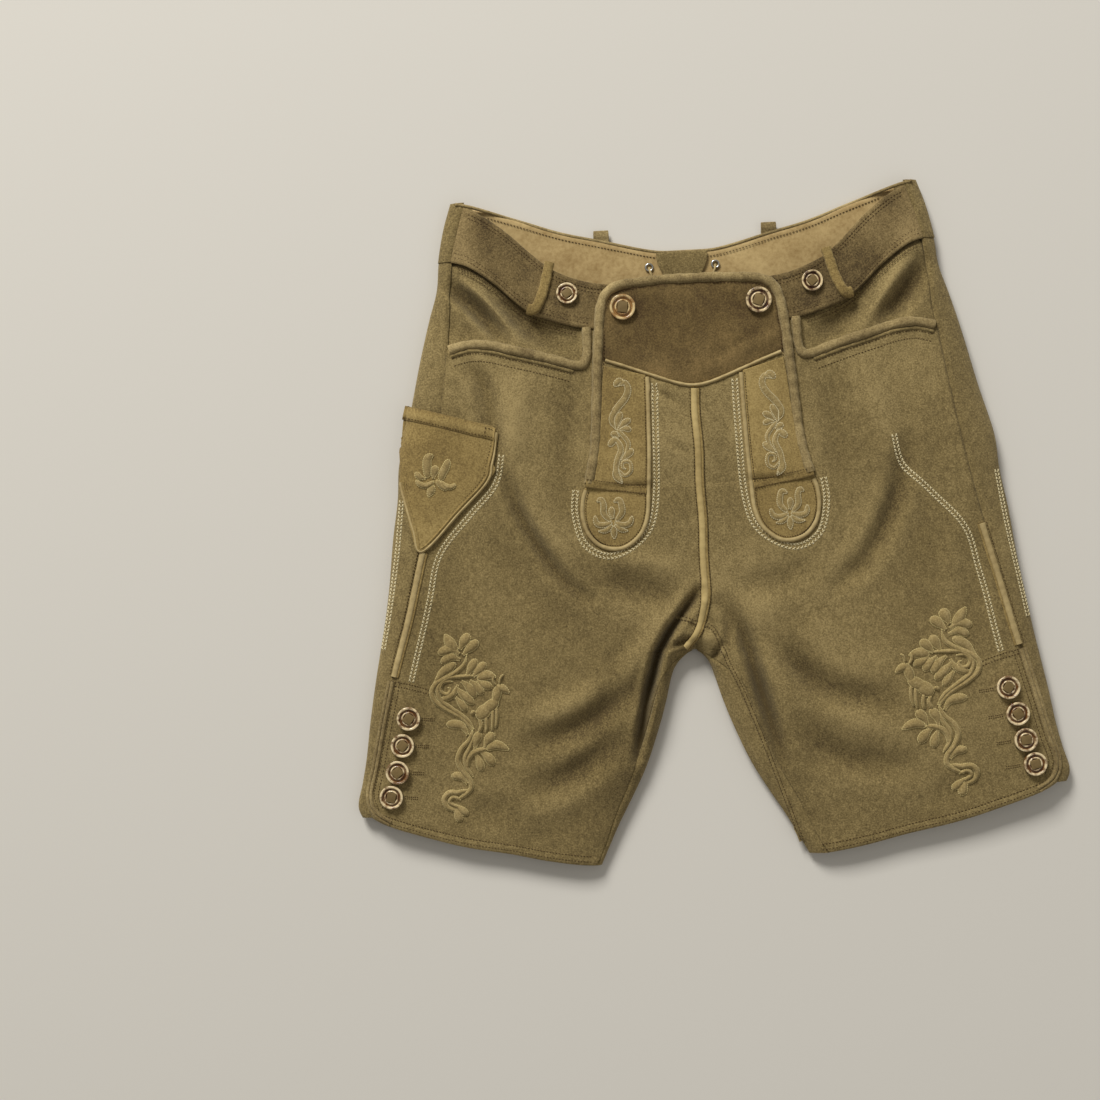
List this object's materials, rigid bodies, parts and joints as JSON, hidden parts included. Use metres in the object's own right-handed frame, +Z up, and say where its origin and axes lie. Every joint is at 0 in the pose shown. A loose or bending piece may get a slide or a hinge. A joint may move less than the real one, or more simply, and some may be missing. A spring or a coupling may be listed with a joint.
{
  "type": "lederhosen",
  "caption": "Knee-length suede breeches with a buttoned drop front, embroidered flap strips and a knife pocket, laid flat on their back.",
  "frame": {"origin": "on the surface the garment lies on, at the middle of its outline box", "axes": "+X to the wearer's left across the garment, +Y towards the waistband, +Z up from the surface"},
  "size_m": [0.6415, 0.6035, 0.03],
  "materials": {
    "suede": "mottled olive-brown suede with a soft nap",
    "yoke_suede": "darker, flatter brown suede",
    "trim_suede": "olive-brown suede, embroidered",
    "tan_trim": "pale tan smooth leather",
    "lining": "smooth light tan leather",
    "lace": "thin round leather lace",
    "horn": "polished marbled horn",
    "steel": "nickel-plated eyelets"
  },
  "bodies": {
    "root": {"back_lace": "lace", "back_left": "suede", "back_right": "suede", "band_button_left": "horn", "band_button_right": "horn", "belt_loop_back_left": "suede", "belt_loop_back_right": "suede", "belt_loop_front_left": "suede", "belt_loop_front_right": "suede", "centre_strip": "tan_trim", "eyelet_left": "steel", "eyelet_right": "steel", "flap_button_left": "horn", "flap_button_right": "horn", "flap_left": "suede", "flap_right": "suede", "flap_rim": "suede", "flap_strip_left": "trim_suede", "flap_strip_right": "trim_suede", "flap_tongue_left": "trim_suede", "flap_tongue_right": "trim_suede", "flap_yoke": "yoke_suede", "front_left": "suede", "front_right": "suede", "knife_pocket_bag": "trim_suede", "knife_pocket_mouth": "suede", "lacing_gusset": "suede", "leg_button_left_1": "horn", "leg_button_left_2": "horn", "leg_button_left_3": "horn", "leg_button_left_4": "horn", "leg_button_right_1": "horn", "leg_button_right_2": "horn", "leg_button_right_3": "horn", "leg_button_right_4": "horn", "pocket_welt_left": "suede", "pocket_welt_right": "suede", "side_strip_left": "tan_trim", "side_strip_right": "tan_trim", "strip_piping_left": "tan_trim", "strip_piping_right": "tan_trim", "waistband_back": "suede", "waistband_facing": "lining", "waistband_front_left": "suede", "waistband_front_right": "suede", "yoke_piping": "tan_trim"}
  },
  "joints": []
}
